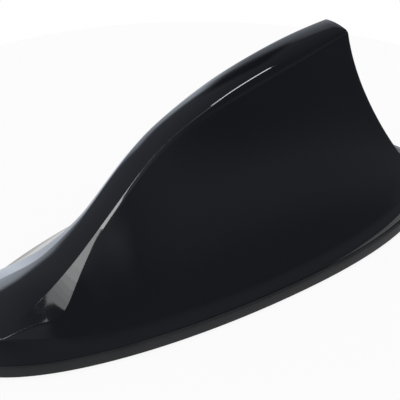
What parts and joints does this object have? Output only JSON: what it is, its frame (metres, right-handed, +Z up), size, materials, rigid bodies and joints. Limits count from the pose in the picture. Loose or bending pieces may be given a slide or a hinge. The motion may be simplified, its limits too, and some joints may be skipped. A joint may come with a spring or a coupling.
{
  "type": "shark fin aerial",
  "caption": "Car roof aerial in a glossy shark fin cover on a rubber rim seal, stuck to the roof by a pad, with a gland for the lead and an aerial element on a board inside.",
  "frame": {"origin": "middle of the outline on the roof skin, under the part", "axes": "+X to the nose, towards the front of the car, +Y to the car's left, +Z up from the roof"},
  "size_m": [0.168, 0.066, 0.06],
  "materials": {
    "fin_shell": "gloss black moulded ABS",
    "rim_seal": "matt black rubber",
    "base_plate": "black moulded plastic, fine grain",
    "adhesive_pad": "dark acrylic foam tape",
    "ground_plate": "stamped zinc-plated steel",
    "lead_gland": "black rubber",
    "base_screws": "plated steel",
    "circuit_board": "green solder mask on glass laminate",
    "element_board": "green solder mask on glass laminate",
    "element_trace": "copper foil",
    "element_solder": "tin solder",
    "shield_can": "tinned sheet",
    "amplifier_chip": "black moulded package",
    "chip_resistors": "black film on ceramic",
    "chip_capacitors": "tan ceramic",
    "choke_coils": "grey moulded ferrite",
    "lead_pins": "tinned brass",
    "ground_spring": "bent bronze strip",
    "damper_foam": "dark soft foam"
  },
  "bodies": {
    "root": {"fin_shell": "fin_shell", "rim_seal": "rim_seal", "base_plate": "base_plate", "adhesive_pad": "adhesive_pad", "ground_plate": "ground_plate", "lead_gland": "lead_gland", "base_screws": "base_screws", "circuit_board": "circuit_board", "element_board": "element_board", "element_trace": "element_trace", "element_solder": "element_solder", "shield_can": "shield_can", "amplifier_chip": "amplifier_chip", "chip_resistors": "chip_resistors", "chip_capacitors": "chip_capacitors", "choke_coils": "choke_coils", "lead_pins": "lead_pins", "ground_spring": "ground_spring", "damper_foam": "damper_foam"}
  },
  "joints": []
}
